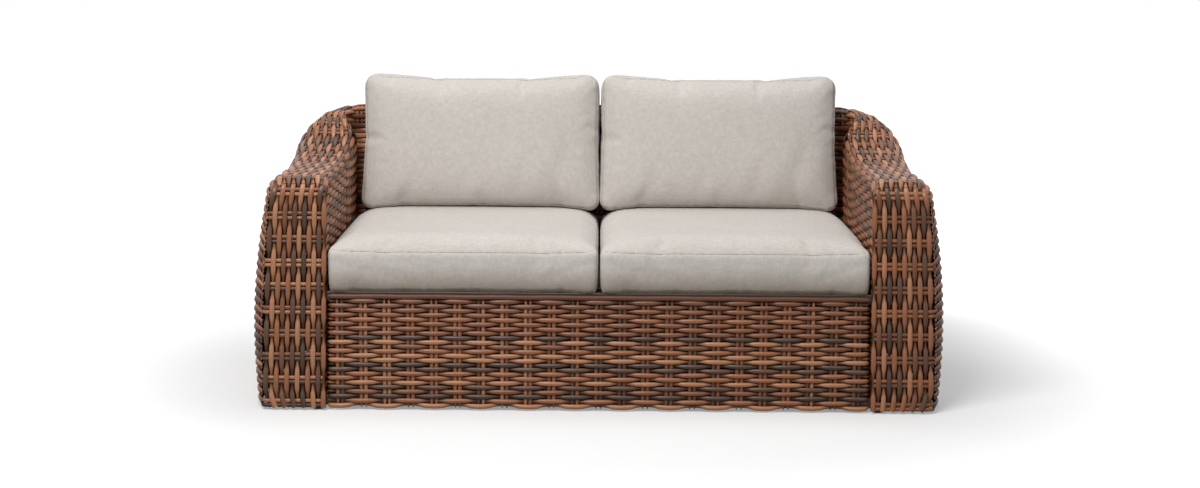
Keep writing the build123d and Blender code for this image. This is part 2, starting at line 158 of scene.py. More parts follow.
def swell_of(swing):
    """The same, squarer still: a strand keeps its width until it dips under a stake."""
    return squarer(swing, SWELL_POWER)


def ease(share):
    return share * share * (3 - 2 * share)


def between(pair, share):
    return pair[0] + (pair[1] - pair[0]) * ease(share)


def arm_wall(place):
    """Measures of the wall at a distance behind the arm's front."""
    taper = max(0.0, 1 - place / TAPER_LENGTH) ** 2
    drop = max(0.0, 1 - place / DROP_LENGTH) ** 2
    share = place / ARM_LENGTH
    rise = float(np.interp(share, ARM_SHARES, ARM_RISES))
    return {
        "at": (HALF_SEAT, FRONT + place),
        "out": (1.0, 0.0),
        "height": ARM_HEIGHT + RISE * rise - DROP * drop,
        "lean": -ARM_LEAN,
        "foot": FOOT[0] - TAPER * taper * FOOT_TAPER_SHARE,
        "belly": BELLY[0] - TAPER * taper,
        "shoulder": between((SHOULDER[0], SHOULDER_AT_CORNER), share) - TAPER * taper * SHOULDER_TAPER_SHARE,
        "radius": between(SHOULDER_RADIUS[:2], share),
    }


def corner_wall(share):
    """Measures of the wall where it turns from the arm into the back."""
    turn = math.pi / 2 * share
    out = (math.cos(turn), math.sin(turn))
    rise = float(np.interp(share, TURN_SHARES, TURN_RISES))
    return {
        "at": (CORNER_X + CORNER_RADIUS * out[0], FRONT + ARM_LENGTH + CORNER_RADIUS * out[1]),
        "out": out,
        "height": ARM_HEIGHT + RISE * rise,
        "lean": between((-ARM_LEAN, BACK_LEAN), share),
        "foot": between(FOOT, share),
        "belly": between(BELLY, share),
        "shoulder": between((SHOULDER_AT_CORNER, SHOULDER[1]), share),
        "radius": between(SHOULDER_RADIUS[1:], share),
    }


def arc_points(centre, radius, start, end, count):
    angles = np.linspace(start, end, count)
    return np.stack([centre[0] + radius * np.cos(angles), centre[1] + radius * np.sin(angles)], 1)


def wall_profile(wall):
    """Outline of the wall in distance from its inner foot and height, from inner foot to outer foot."""
    height = wall["height"]
    lean = math.atan2(wall["lean"], height - GROUND_GAP)
    radius = EDGE_RADIUS
    centre_z = height - radius
    centre_d = math.tan(lean) * (centre_z - GROUND_GAP) + radius / math.cos(lean)
    edge = arc_points((centre_d, centre_z), radius, math.pi - lean, math.pi / 2, EDGE_POINTS)
    inner_steps = np.linspace(0, 1, SIDE_POINTS)[:-1, None]
    inner = np.array([0.0, WEAVE_FOOT]) * (1 - inner_steps) + edge[0] * inner_steps
    round_out = wall["radius"]
    shoulder_centre = (wall["shoulder"] - round_out, height - round_out)
    shoulder = arc_points(shoulder_centre, round_out, math.pi / 2, 0, SHOULDER_POINTS)
    top = np.linspace(edge[-1], shoulder[0], TOP_POINTS)[1:-1]
    ends = np.array([shoulder[-1], [wall["belly"], BELLY_HEIGHT], [wall["foot"], GROUND_GAP]])
    lhs = np.column_stack([ends, np.ones(3)])
    a, b, c = np.linalg.solve(lhs, -(ends ** 2).sum(1))
    centre = np.array([-a / 2, -b / 2])
    bend = math.sqrt(centre @ centre - c)
    side = 1 if centre[0] < ends[1][0] else -1
    heights = np.linspace(ends[0][1], WEAVE_FOOT, SIDE_POINTS)[1:]
    outer = np.stack([centre[0] + side * np.sqrt(bend ** 2 - (heights - centre[1]) ** 2), heights], 1)
    return np.concatenate([inner, edge, top, shoulder, outer])


def resample(points, at):
    """Points of a polyline at distances along it."""
    run = run_along(points)
    return np.stack([np.interp(at, run, points[:, i]) for i in range(points.shape[1])], 1), run[-1]


def strand_row(wall):
    """Places of all strands across the wall, two per strand pitch, as points in space."""
    profile = wall_profile(wall)
    lengths = run_along(profile)
    total = lengths[-1]
    index_top = int(np.argmax(profile[:, 1] > wall["height"] - 1e-6))
    flat_end = int(len(profile) - 1 - np.argmax(profile[::-1, 1] > wall["height"] - 1e-6))
    middle = (lengths[index_top] + lengths[flat_end]) / 2 + TOP_SHIFT_SHARE * wall["radius"]
    half = TOP_STRANDS * DENSE_PITCH / 2
    low, high = middle - half, middle + half
    inner = np.linspace(0.0, low, 2 * INNER_STRANDS + 1)
    top = np.linspace(low, high, 2 * TOP_STRANDS + 1)[1:]
    outer = np.linspace(high, total, 2 * OUTER_STRANDS + 1)[1:]
    places = np.concatenate([inner, top, outer])
    flat, _ = resample(profile, places)
    at, out = wall["at"], wall["out"]
    return np.stack([at[0] + out[0] * flat[:, 0], at[1] + out[1] * flat[:, 0], flat[:, 1]], 1)


def grid_normals(grid):
    """Unit normals of a grid of points."""
    along = np.gradient(grid, axis=0)
    across = np.gradient(grid, axis=1)
    return unit(np.cross(across, along))


STRAND_VALUES = ("tone", "along", "around", "low")
LOW_DEPTH = 0.55  # how much of a point's "low", its painted shade, comes from the strand's depth under the stakes
LOW_UNDERSIDE = 0.375  # and how much from the strand's underside, also painted shade
END_SHARE = 0.25  # of the width, at a tapered end


class Weave:
    """Collects strands and turns them into one mesh."""

    def __init__(self, name):
        self.name = name
        self.parts = {part: [] for part in ("points", "quads", "uvs", *STRAND_VALUES)}
        self.count = 0
        self.strands = 0

    def strand(self, points, normals, width, thick, tone, taper=True, depth=0.5):
        """One strand along points. width, thick and depth (0 on top, 1 under, darker by painted shade) may
        have a value a point.
        """
        count = len(points)
        if count < 3:
            return
        tangent = unit(np.gradient(points, axis=0))
        side = unit(np.cross(tangent, normals))
        up = np.cross(side, tangent)
        half_w = np.broadcast_to(np.asarray(width, float) / 2, (count,)).copy()
        half_t = np.broadcast_to(np.asarray(thick, float) / 2, (count,)).copy()
        if taper:
            half_w[[0, -1]] *= END_SHARE
            half_t[[0, -1]] *= END_SHARE
        angles = np.arange(RING) * 2 * math.pi / RING
        cos, sin = np.cos(angles), np.sin(angles)
        flat = squarer(cos, RING_POWER)
        ring = (
            points[:, None]
            + side[:, None] * (flat[None] * half_w[:, None])[..., None]
            + up[:, None] * (sin[None] * half_t[:, None])[..., None]
        )
        row = np.arange(count - 1)[:, None] * RING
        column = np.arange(RING)[None]
        following = (column + 1) % RING
        quads = np.stack([row + column, row + following, row + RING + following, row + RING + column], -1)
        run = run_along(points)
        depth = np.broadcast_to(np.asarray(depth, float), (count,))
        share = run / max(run[-1], 1e-6)
        corners = np.empty((count - 1, RING, 4, 2))
        corners[..., :2, 0] = share[:-1, None, None]
        corners[..., 2:, 0] = share[1:, None, None]
        corners[..., [0, 3], 1] = column[..., None] / RING
        corners[..., [1, 2], 1] = (column[..., None] + 1) / RING
        corners[..., 1] += self.strands
        new = {
            "points": ring.reshape(-1, 3),
            "quads": quads.reshape(-1, 4) + self.count,
            "uvs": corners.reshape(-1, 2),
            "tone": np.full(count * RING, tone),
            "along": np.repeat(run, RING),
            "around": np.tile(cos, count),
            # low drives painted shade: under the stakes and on the strand's underside
            "low": (depth[:, None] * LOW_DEPTH + (1 - sin[None]) * LOW_UNDERSIDE).ravel(),
        }
        for part, values in new.items():
            self.parts[part].append(values)
        self.count += count * RING
        self.strands += 1

    def build(self, material):
        joined = {part: np.concatenate(values) for part, values in self.parts.items()}
        points, quads, uvs = joined["points"], joined["quads"], joined["uvs"]
        mesh = bpy.data.meshes.new(self.name)
        mesh.vertices.add(len(points))
        mesh.vertices.foreach_set("co", points.astype(np.float32).ravel())
        mesh.loops.add(quads.size)
        mesh.loops.foreach_set("vertex_index", quads.astype(np.int32).ravel())
        mesh.polygons.add(len(quads))
        mesh.polygons.foreach_set("loop_start", np.arange(0, quads.size, 4, dtype=np.int32))
        mesh.update(calc_edges=True)
        mesh.polygons.foreach_set("use_smooth", np.ones(len(quads), bool))
        uvs[:, 1] /= self.strands
        layer = mesh.uv_layers.new(name="OFBake")
        layer.data.foreach_set("uv", uvs.astype(np.float32).ravel())
        for name in STRAND_VALUES:
            attribute = mesh.attributes.new(name, "FLOAT", "POINT")
            attribute.data.foreach_set("value", joined[name].astype(np.float32))
        mesh.materials.append(material)
        return show(self.name, mesh)


def tone_of(key):
    """A steady pseudo-random share for a strand."""
    return (math.sin(key * 12.9898 + 4.1) * 43758.5453) % 1.0


def dense_strand(piece, points, normals, phase, tone, number, pitch, shape):
    """A strand that runs over and under the stakes; phase counts stakes, with even ones over."""
    swing = wave(phase)
    slow_share, slow_angle, slow_shift = SLOW_WAVE
    slow = np.sin(np.linspace(0, slow_angle, len(points)) + number * slow_shift)
    offset = swing * WAVE - SINK
    fill, swell, both = shape
    spread = 1.0 + swell * swell_of(swing) + both * np.abs(swing) + slow_share * slow
    width = np.maximum(pitch, MIN_PITCH) * fill * spread
    middles = points + normals * offset[:, None]
    piece.strand(middles, normals, width, DENSE_THICK, tone, False, 0.5 - 0.5 * swing)


def stakes_across(piece, grid, normals, p, wanted, columns, key):
    """Pairs of stakes across the strands at the stake counts in wanted."""
    pitch = np.linalg.norm(np.gradient(grid, axis=0), axis=2) / np.maximum(np.gradient(p)[:, None], 1e-6)
    for number in wanted:
        for side in (-1, 1):
            rows = []
            for c in columns:
                row_pitch = max(float(np.interp(number + 0.5, p, pitch[:, c])), 1e-4)
                gap = min(STAKE_HALF_GAP / row_pitch, STAKE_GAP_LIMIT)
                at = np.clip(number + 0.5 + side * gap, p[0], p[-1])
                spot = [np.interp(at, p, grid[:, c, i]) for i in range(3)]
                up = [np.interp(at, p, normals[:, c, i]) for i in range(3)]
                rows.append((spot, up))
            points = np.array([r[0] for r in rows])
            ups = unit(np.array([r[1] for r in rows]))
            tone = tone_of(key + number * 7.3 + side)
            piece.strand(points - ups * SINK, ups, STAKE_WIDTH, STAKE_THICK, tone)


def srgb(red, green, blue):
    """Linear colour from 0-255 values."""
    values = []
    for value in (red, green, blue):
        share = value / 255
        values.append(share / 12.92 if share <= 0.04045 else ((share + 0.055) / 1.055) ** 2.4)
    return (*values, 1.0)


class Surface:
    """A material or world, with short ways to add nodes. Values are numbers, colours or nodes' outputs."""

    def __init__(self, owner, shader="Principled BSDF"):
        owner.use_nodes = True
        self.owner = owner
        self.nodes = owner.node_tree.nodes
        self.links = owner.node_tree.links
        self.shader = self.nodes[shader]

    def put(self, node, socket, value):
        if isinstance(value, bpy.types.NodeSocket):
            self.links.new(value, node.inputs[socket])
        else:
            node.inputs[socket].default_value = value

    def add(self, kind, values, output=0, **settings):
        """A new node with its settings made and its inputs set or linked; gives one of its outputs."""
        node = self.nodes.new(f"ShaderNode{kind}")
        for name, value in settings.items():
            setattr(node, name, value)
        for socket, value in values.items():
            self.put(node, socket, value)
        return node.outputs[output]

    def attribute(self, name, output="Fac"):
        return self.add("Attribute", {}, output, attribute_name=name)

    def math(self, operation, *values):
        return self.add("Math", dict(enumerate(values)), operation=operation)

    def vector_math(self, operation, *values):
        sockets = (0, "Scale") if operation == "SCALE" else (0, 1)
        output = "Value" if operation == "LENGTH" else "Vector"
        return self.add("VectorMath", dict(zip(sockets, values)), output, operation=operation)

    def map_range(self, value, source, target, curve="LINEAR"):
        limits = dict(zip(("From Min", "From Max", "To Min", "To Max"), (*source, *target)))
        return self.add("MapRange", {"Value": value, **limits}, "Result", interpolation_type=curve)

    def ramp(self, value, stops, interpolation="LINEAR"):
        node = self.nodes.new("ShaderNodeValToRGB")
        node.color_ramp.interpolation = interpolation
        while len(node.color_ramp.elements) < len(stops):
            node.color_ramp.elements.new(0.5)
        for element, (place, colour) in zip(node.color_ramp.elements, stops):
            element.position = place
            element.color = colour
        self.put(node, "Fac", value)
        return node.outputs["Color"]

    def noise(self, values):
        return self.add("TexNoise", values, "Fac")

    def bump(self, height, strength, distance):
        return self.add("Bump", {"Height": height, "Strength": strength, "Distance": distance}, "Normal")

    def finish(self, values):
        """Sets or links the shader's inputs."""
        for socket, value in values.items():
            self.put(self.shader, socket, value)
        return self.owner


def new_surface(name):
    return Surface(bpy.data.materials.new(name))


STREAK_STRETCH = (14.0, 3.2, 91.0)  # of the streaks' noise: along, around, from strand to strand
STREAK_SHADE = (0.78, 1.22)
GROOVES = 9.5
LOW_SHADE = ((0.20, 0.83), (1.08, 0.08))  # where a strand lies low, and how dark the painted shade makes it there
# the painted shade also takes gloss away in the same low places
LOW_GLOSS = ((0.20, 0.72), (0.60, 0.06))


def wicker_material(name, tones):
    """Extruded resin strand: a tone for each, fine grooves along it, and painted shade that makes it dark and
    dull in the low places, under the stakes and on its underside.
    """
    surface = new_surface(name)
    tone, along, around, low = (surface.attribute(word) for word in ("tone", "along", "around", "low"))
    runs = zip("XYZ", (along, around, tone), STREAK_STRETCH)
    place = surface.add("CombineXYZ", {axis: surface.math("MULTIPLY", run, by) for axis, run, by in runs})
    streak = surface.noise({"Vector": place, "Scale": 2.2, "Detail": 4.0, "Roughness": 0.62})
    shade = surface.map_range(streak, (0.3, 0.7), STREAK_SHADE)
    # painted shade: the strand darkens where it lies low, in place of the shade that falls there
    painted_shade = surface.map_range(low, *LOW_SHADE, "SMOOTHSTEP")
    ridge = surface.math("SINE", surface.math("MULTIPLY", around, GROOVES))
    height = surface.math("MULTIPLY_ADD", ridge, 0.5, streak)
    colour = surface.ramp(tone, tones, "CONSTANT")
    return surface.finish({
        "Base Color": surface.vector_math("SCALE", colour, surface.math("MULTIPLY", shade, painted_shade)),
        "Roughness": surface.map_range(streak, (0.0, 1.0), (0.28, 0.50)),
        "Normal": surface.bump(height, 0.45, 0.0006),
        "Specular IOR Level": surface.map_range(low, *LOW_GLOSS),
    })


WICKER_TONES = (
    (0.00, srgb(70, 47, 33)),
    (0.12, srgb(125, 76, 47)),
    (0.36, srgb(145, 91, 58)),
    (0.60, srgb(112, 69, 43)),
    (0.74, srgb(168, 115, 80)),
    (0.88, srgb(87, 57, 38)),
)
wicker = wicker_material("wicker_strand", WICKER_TONES)
wicker_dark = wicker_material("wicker_dark_strand", ((0.0, srgb(102, 60, 38)), (0.5, srgb(96, 58, 38))))


def finish_weave(weave_piece, *nodes, material=wicker, slot="wicker"):
    piece = weave_piece.build(material)
    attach(piece, "sofa_frame")
    if nodes:
        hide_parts(*nodes)
    return piece


# Grid of the right arm, the corner and the back
arm_rows = np.linspace(0.0, ARM_LENGTH, int(ARM_LENGTH / ROW_STEP))
arm_grid = np.array([strand_row(arm_wall(place)) for place in arm_rows])
arm_p = -FRONT_FIRST_STAKE + (ARM_STAKES + FRONT_FIRST_STAKE) * arm_rows / ARM_LENGTH
corner_rows = np.linspace(0.0, 1.0, 40)
corner_grid = np.array([strand_row(corner_wall(share)) for share in corner_rows])
back_half = int(CORNER_X / ROW_STEP)
back_xs = np.linspace(CORNER_X, -CORNER_X, 2 * back_half + 1)
back_row = strand_row(corner_wall(1.0))
back_grid = np.repeat(back_row[None], len(back_xs), 0)
back_grid[:, :, 0] = back_xs[:, None]
columns = arm_grid.shape[1]
first_top = 2 * INNER_STRANDS
last_top = 2 * (INNER_STRANDS + TOP_STRANDS)

whole = np.concatenate([arm_grid[:-1], corner_grid[:-1], back_grid])
whole_normals = grid_normals(whole)
# a place on the arm's outer side, whose normal has to point outwards
if whole_normals[10, columns - 20, 0] < 0:
    whole_normals = -whole_normals
arm_end = len(arm_rows) - 1
corner_end = arm_end + len(corner_rows) - 1


def stake_counts(corner_stakes):
    """How many stakes have gone by at each row of the grid, with so many in the corner."""
    in_corner = ARM_STAKES + corner_stakes * corner_rows[:-1]
    in_back = ARM_STAKES + corner_stakes + BACK_STAKES * np.linspace(0, 1, len(back_xs))
    return np.concatenate([arm_p[:-1], in_corner, in_back])


p_outer = stake_counts(CORNER_STAKES_OUTSIDE)
p_inner = stake_counts(CORNER_STAKES_INSIDE)


def strand_tone(number, mirror_x):
    """Tone of a lengthwise strand. Those over the arm's front are listed, from the inner side."""
    if INNER_STRANDS <= number < INNER_STRANDS + TOP_STRANDS:
        tones = LEFT_TOP_TONES if mirror_x else RIGHT_TOP_TONES
        return tones[number - INNER_STRANDS]
    return tone_of(number * 1.37 + (0.5 if mirror_x else 0.0))


def band_piece(name, rows, pick, mirror_x, nodes, stake_sets, shape=CLOSE_SHAPE):
    """Strands of one stretch of the wall. rows is a slice of the grid's rows, pick its strand columns."""
    piece = Weave(name)
    flip = np.array([-1.0 if mirror_x else 1.0, 1.0, 1.0])
    for column in pick:
        number = column // 2
        phase = (p_inner if column < first_top else p_outer)[rows] - 0.5 + number
        points = whole[rows, column] * flip
        normals = whole_normals[rows, column] * flip
        pitch = np.linalg.norm(whole[rows, column + 1] - whole[rows, column - 1], axis=1)
        own = TOP_SHAPE if first_top <= column < last_top else shape
        dense_strand(piece, points, normals, phase, strand_tone(number, mirror_x), number, pitch, own)
    for p, span, wanted in stake_sets:
        grid = whole[rows][:, span] * flip
        normals = whole_normals[rows][:, span] * flip
        across = range(0, grid.shape[1], 2)
        stakes_across(piece, grid, normals, p[rows], wanted, across, WALL_STAKE_KEY + (50 if mirror_x else 0))
    return finish_weave(piece, *nodes)


all_columns = list(range(1, columns, 2))
inner_list = [c for c in all_columns if c < first_top]
upper_list = [c for c in all_columns if c >= first_top]
full_span = slice(0, columns)
arm_slice = slice(1, arm_end + 1)
corner_slice = slice(arm_end, corner_end + 1)
back_slice = slice(corner_end, len(whole))
for side, mirrored_side in (("right", False), ("left", True)):
    band_piece(
        f"{side}_arm_strands", arm_slice, all_columns, mirrored_side, [f"{side}_arm_weave"],
        [(p_outer, full_span, range(0, ARM_STAKES))],
    )
    band_piece(
        f"{side}_corner_strands", corner_slice, all_columns, mirrored_side, [f"{side}_corner_weave"],
        [
            (p_outer, slice(first_top, columns), range(ARM_STAKES, ARM_STAKES + CORNER_STAKES_OUTSIDE)),
            (p_inner, slice(0, first_top), range(ARM_STAKES, ARM_STAKES + CORNER_STAKES_INSIDE)),
        ],
        SHUT_SHAPE,
    )
first_back_outer = ARM_STAKES + CORNER_STAKES_OUTSIDE
first_back_inner = ARM_STAKES + CORNER_STAKES_INSIDE
band_piece(
    "back_inner_strands", back_slice, inner_list, False, [],
    [(p_inner, slice(0, first_top + 1), range(first_back_inner, first_back_inner + BACK_STAKES))],
    SHUT_SHAPE,
)
back_stakes = range(first_back_outer, first_back_outer + BACK_STAKES)
band_piece(
    "back_top_strands", back_slice, [c for c in upper_list if c < last_top], False, [],
    [(p_outer, slice(first_top, last_top + 1), back_stakes)],
)
band_piece(
    "back_outer_strands", back_slice, [c for c in upper_list if c >= last_top], False, ["back_weave"],
    [(p_outer, slice(last_top, columns), back_stakes)],
    SHUT_SHAPE,
)


FRONT_BEND = 0.010  # the upright strands' phase starts this far above the front's flat part
FRONT_BEND_START = 0.002  # below that height by this much, stakes are counted down the front
FRONT_BEND_DROP = 0.004  # the flat part starts this far below the arm's lowered edge
FRONT_LEVEL_GAP = 0.012  # from there to the first point below the bend
FRONT_INSETS = (0.0015, 0.002) # the outermost strands' edges, inner and outer side
FRONT_STEP = 0.0065
FRONT_FOOT_LEVELS = (0.024, 0.05)
FRONT_FOOT_INSETS = (0.014, 0.004)
FRONT_SHOULDER = (0.05, 0.012) # how high and how far in the outer edge rounds into the top
FRONT_FLAT_PARTS = 14
FRONT_TURNS = (0.034, 0.022, 0.012, 0.005)  # points of a level stake behind the outer edge
FRONT_TUCKS = (0.010, 0.022)  # and behind the inner edge
FRONT_TURN_SHIFT = 0.003  # how far behind their place on the wall the turn's points lie
FRONT_FLAT_INSETS = (0.008, 0.010)  # of its flat part, from the last turn and from the inner edge
TURN_CENTRE = (0.08, 0.06)  # from the arm's inner front edge; the turning stakes face away from it
FRONT_TOP_PLACES = np.linspace(0.0, 0.03, 6)  # where the upright strands start, behind the front
FRONT_SMOOTHING = 3
LOWEST_LEVEL = WEAVE_FOOT + 0.003


def arm_lean(level):
    return ARM_LEAN * (level - GROUND_GAP) / (ARM_HEIGHT - GROUND_GAP)


def upright_strands(piece, sign, flat_z):
    """Twelve strands that come over the arm's top, bend and run down its front."""
    top_columns = [c for c in all_columns if first_top <= c < last_top]
    top_rows = np.array([strand_row(arm_wall(place))[top_columns] for place in FRONT_TOP_PLACES])
    levels = np.append(np.arange(flat_z - FRONT_LEVEL_GAP, LOWEST_LEVEL, -ROW_STEP), WEAVE_FOOT)
    wall = arm_wall(0.0)
    outer_edge = [
        wall["foot"] - FRONT_FOOT_INSETS[0], wall["foot"] - FRONT_FOOT_INSETS[1], wall["foot"],
        wall["belly"], wall["shoulder"], wall["shoulder"] - FRONT_SHOULDER[1],
    ]
    outer_levels = [WEAVE_FOOT, *FRONT_FOOT_LEVELS, BELLY_HEIGHT, flat_z - FRONT_SHOULDER[0], flat_z]
    flip = np.array([sign, 1.0, 1.0])
    for place, column in enumerate(top_columns):
        share = (place + 0.5) / TOP_STRANDS
        down = []
        for z in levels:
            inner_x = HALF_SEAT - arm_lean(z) - FRONT_INSETS[0]
            outer_x = HALF_SEAT + float(np.interp(z, outer_levels, outer_edge)) - FRONT_INSETS[1]
            down.append((inner_x + (outer_x - inner_x) * share, FRONT, z))
        path = np.concatenate([top_rows[::-1, place], np.array(down)])
        for _ in range(FRONT_SMOOTHING):
            path[1:-1] = path[1:-1] * 0.5 + (path[:-2] + path[2:]) * 0.25
        _, run = resample(path, [0.0])
        path, _ = resample(path, np.linspace(0, run, int(run / FRONT_STEP)))
        normals = unit(np.cross(np.gradient(path, axis=0), np.array([1.0, 0.0, 0.0])))
        if normals[-1, 1] > 0:
            normals = -normals
        drop = np.maximum(0.0, flat_z + FRONT_BEND - path[:, 2])
        behind = np.maximum(0.0, path[:, 1] - FRONT)
        p = np.where(
            drop > FRONT_BEND_START,
            -FRONT_FIRST_STAKE - drop / FRONT_STAKE_PITCH,
            -FRONT_FIRST_STAKE + (ARM_STAKES + FRONT_FIRST_STAKE) * behind / ARM_LENGTH,
        )
        number = column // 2
        tone = strand_tone(number, sign < 0)
        phase = p - 0.5 + number
        dense_strand(piece, path * flip, normals * flip, phase, tone, place, DENSE_PITCH, TOP_SHAPE)


def level_stake(piece, sign, level, tone):
    """A stake that comes round the arm's outer edge, runs across its front and tucks in at the inner edge."""
    inner_x = HALF_SEAT - arm_lean(level)
    path = []
    for place in FRONT_TURNS:
        profile = wall_profile(arm_wall(place))
        outer = profile[len(profile) // 2:]
        distance = float(np.interp(level, outer[::-1, 1], outer[::-1, 0]))
        path.append((HALF_SEAT + distance - SINK, FRONT + place + FRONT_TURN_SHIFT, level))
    ends = (path[-1][0] - FRONT_FLAT_INSETS[0], inner_x + FRONT_FLAT_INSETS[1])
    front_x = np.linspace(*ends, FRONT_FLAT_PARTS)
    path += [(x, FRONT + SINK, level) for x in front_x]
    path = np.array(path + [(inner_x + SINK, FRONT + tuck, level) for tuck in FRONT_TUCKS])
    normals = path - np.array([HALF_SEAT + TURN_CENTRE[0], FRONT + TURN_CENTRE[1], level])
    normals[:, 2] = 0
    normals[len(FRONT_TURNS):len(FRONT_TURNS) + FRONT_FLAT_PARTS] = (0.0, -1.0, 0.0)
    flip = np.array([sign, 1.0, 1.0])
    piece.strand(path * flip, unit(normals) * flip, STAKE_WIDTH, STAKE_THICK, tone)


def arm_front(side, sign):
    """Front of an arm: upright strands that bend over the top, and level pairs of stakes."""
    piece = Weave(f"{side}_arm_front_strands")
    flat_z = ARM_HEIGHT - DROP - FRONT_BEND_DROP
    upright_strands(piece, sign, flat_z)
    index = 0
    while True:
        middle = flat_z + FRONT_BEND - (index + 0.5 - FRONT_FIRST_STAKE) * FRONT_STAKE_PITCH
        if middle < GROUND_GAP:
            break
        for offset in (-STAKE_HALF_GAP, STAKE_HALF_GAP):
            if middle + offset >= LOWEST_LEVEL:
                tone = tone_of(FRONT_STAKE_KEY + index * 3.1 + offset * 900 + sign)
                level_stake(piece, sign, middle + offset, tone)
        index += 1
    return finish_weave(piece, f"{side}_arm_front_weave")


arm_front("right", 1.0)
arm_front("left", -1.0)


WRAP_DEPTH = 0.007  # how far and over what length the rows' ends bend in
WRAP_LENGTH = 0.010
FOOT_WAVE = 0.0022  # the lowest row's waves up and down
WOBBLE = 0.0006  # and those of every row
FLAT_STAKE_STEP = 0.02


def flat_weave(name, node, origin, axes, size, rows, key, wrap, spill):
    """Level strands on a flat panel with stakes across.

    axes are unit vectors along the rows, across them and out of the panel, and size is its length and height.
    wrap bends the rows' ends in. spill is how far the lowest and the highest row reach past each end."""
    piece = Weave(name)
    run, rise, out = axes
    length, height = size
    s = np.linspace(0, length, int(length / ROW_STEP))
    pitch = height / rows
    for row in range(rows):
        level = (row + 0.5) * pitch
        reach = float(np.interp(level, (0, height), spill))
        places = s * (length + 2 * reach) / length - reach
        swing = wave(s / length * APRON_STAKES - 0.5 + row)
        levels = level + WOBBLE * np.sin(s * 31 + row * 2.1)
        offset = swing * WAVE - SINK
        if wrap:
            edge = np.minimum(s, length - s)
            offset = offset - WRAP_DEPTH * np.clip(1 - edge / WRAP_LENGTH, 0, 1) ** 2
            if row == 0:
                levels = levels - FOOT_WAVE * swing
        points = origin + np.outer(places, run) + np.outer(levels, rise) + np.outer(offset, out)
        normals = np.repeat(out[None], len(s), 0)
        width = pitch * OPEN_SHAPE[0] * (1.0 + OPEN_SHAPE[1] * swell_of(swing))
        piece.strand(points, normals, width, DENSE_THICK, tone_of(key + row * 1.93), depth=0.5 - 0.5 * swing)
    levels = np.linspace(0.0, height, max(3, int(height / FLAT_STAKE_STEP)))
    normals = np.repeat(out[None], len(levels), 0)
    for number in range(APRON_STAKES):
        for side in (-1, 1):
            at = (number + 0.5) / APRON_STAKES * length + side * STAKE_HALF_GAP
            points = origin + run * at + np.outer(levels, rise) - out * SINK
            piece.strand(points, normals, STAKE_WIDTH, STAKE_THICK, tone_of(key + 70 + number * 2.7 + side))
    return finish_weave(piece, node)


X_AXIS, Y_AXIS, Z_AXIS = np.eye(3)
APRON_STAKES = 23
APRON_ROWS = 24
APRON_SPILL = 0.0050  # of the lowest row; the arms' inner sides lean out
BORDER_DROP = 0.0160  # how far the border strand is drawn down from the deck's edge
DECK_ROWS = 56
DECK_TUCK = 0.016  # the deck's first strand lies this far behind its solid's front
low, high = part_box("front_apron_weave")
flat_weave(
    "front_apron_strands", "front_apron_weave", (low[0], low[1], WEAVE_FOOT), (X_AXIS, Z_AXIS, -Y_AXIS),
    (high[0] - low[0], high[2] - WEAVE_FOOT - BORDER_DROP), APRON_ROWS, APRON_KEY, True, (APRON_SPILL, 0.0),
)
low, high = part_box("seat_deck")
flat_weave(
    "seat_deck_strands", "seat_deck", (low[0], low[1] + DECK_TUCK, high[2]), (X_AXIS, Y_AXIS, Z_AXIS),
    (high[0] - low[0], high[1] - low[1] - DECK_TUCK), DECK_ROWS, DECK_KEY, False, (0.0, 0.0),
)
BORDER_STRAND = (0.0138, 0.0052)  # width and thickness
SHELF_STRAND = (0.0160, 0.0070)
BORDER_INSET = 0.0030
BORDER_RISE = 0.0014  # over the middle of its solid, lowered
SHELF_PLACE = (0.0, 0.0100, -0.0010)  # from the border strand
BORDER_STEP = 0.012
BORDER_WAVE = 0.0004


def apron_border():
    """Flat strand along the apron's top, and a second one that closes the gap behind it, painted in full
    shade.
    """
    low, high = (np.array(corner) - [0, 0, BORDER_DROP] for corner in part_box("apron_border"))
    border = Weave("apron_border_strand")
    xs = np.linspace(low[0], high[0], int((high[0] - low[0]) / BORDER_STEP))
    zs = (low[2] + high[2]) / 2 + BORDER_RISE + BORDER_WAVE * np.sin(xs * 40)
    points = np.stack([xs, np.full_like(xs, low[1] + BORDER_INSET), zs], 1)
    border.strand(points, np.repeat([[0.0, -1.0, 0.0]], len(xs), 0), *BORDER_STRAND, 0.3)
    shelf_normals = np.repeat([[0.0, 0.0, 1.0]], len(xs), 0)
    # depth 1.0 gives the second strand full painted shade
    border.strand(points + SHELF_PLACE, shelf_normals, *SHELF_STRAND, 0.7, depth=1.0)
    return finish_weave(border, "apron_border", material=wicker_dark, slot="wicker_dark")


apron_border()


def painted_metal():
    """Dark brown powder coat on the tubes."""
    surface = new_surface("powder_coat")
    broad = surface.noise({"Scale": 9.0})
    fine = surface.noise({"Scale": 900.0, "Detail": 3.0})
    return surface.finish({
        "Base Color": surface.ramp(broad, ((0.0, srgb(52, 40, 33)), (1.0, srgb(70, 54, 45)))),
        "Roughness": 0.45,
        "Normal": surface.bump(fine, 0.15, 0.0003),
    })


def glide_plastic():
    """Black moulded plastic, scuffed."""
    surface = new_surface("glide_plastic")
    scuffs = surface.noise({"Scale": 260.0, "Detail": 5.0})
    return surface.finish({
        "Base Color": surface.ramp(scuffs, ((0.0, srgb(20, 19, 18)), (1.0, srgb(38, 36, 34)))),
        "Roughness": surface.map_range(scuffs, (0.0, 1.0), (0.5, 0.8)),
        "Normal": surface.bump(scuffs, 0.2, 0.0003),
    })


metal = painted_metal()
plastic = glide_plastic()
METAL_WORDS = ("rail", "post", "bar", "rib", "stretcher", "upright", "shoulder")
for name, node in frame["nodes"].items():
    own = None
    if "glide" in name:
        own = plastic
    elif any(word in name for word in METAL_WORDS):
        own = metal
    if own:
        for material_slot in node.material_slots:
            material_slot.material = own


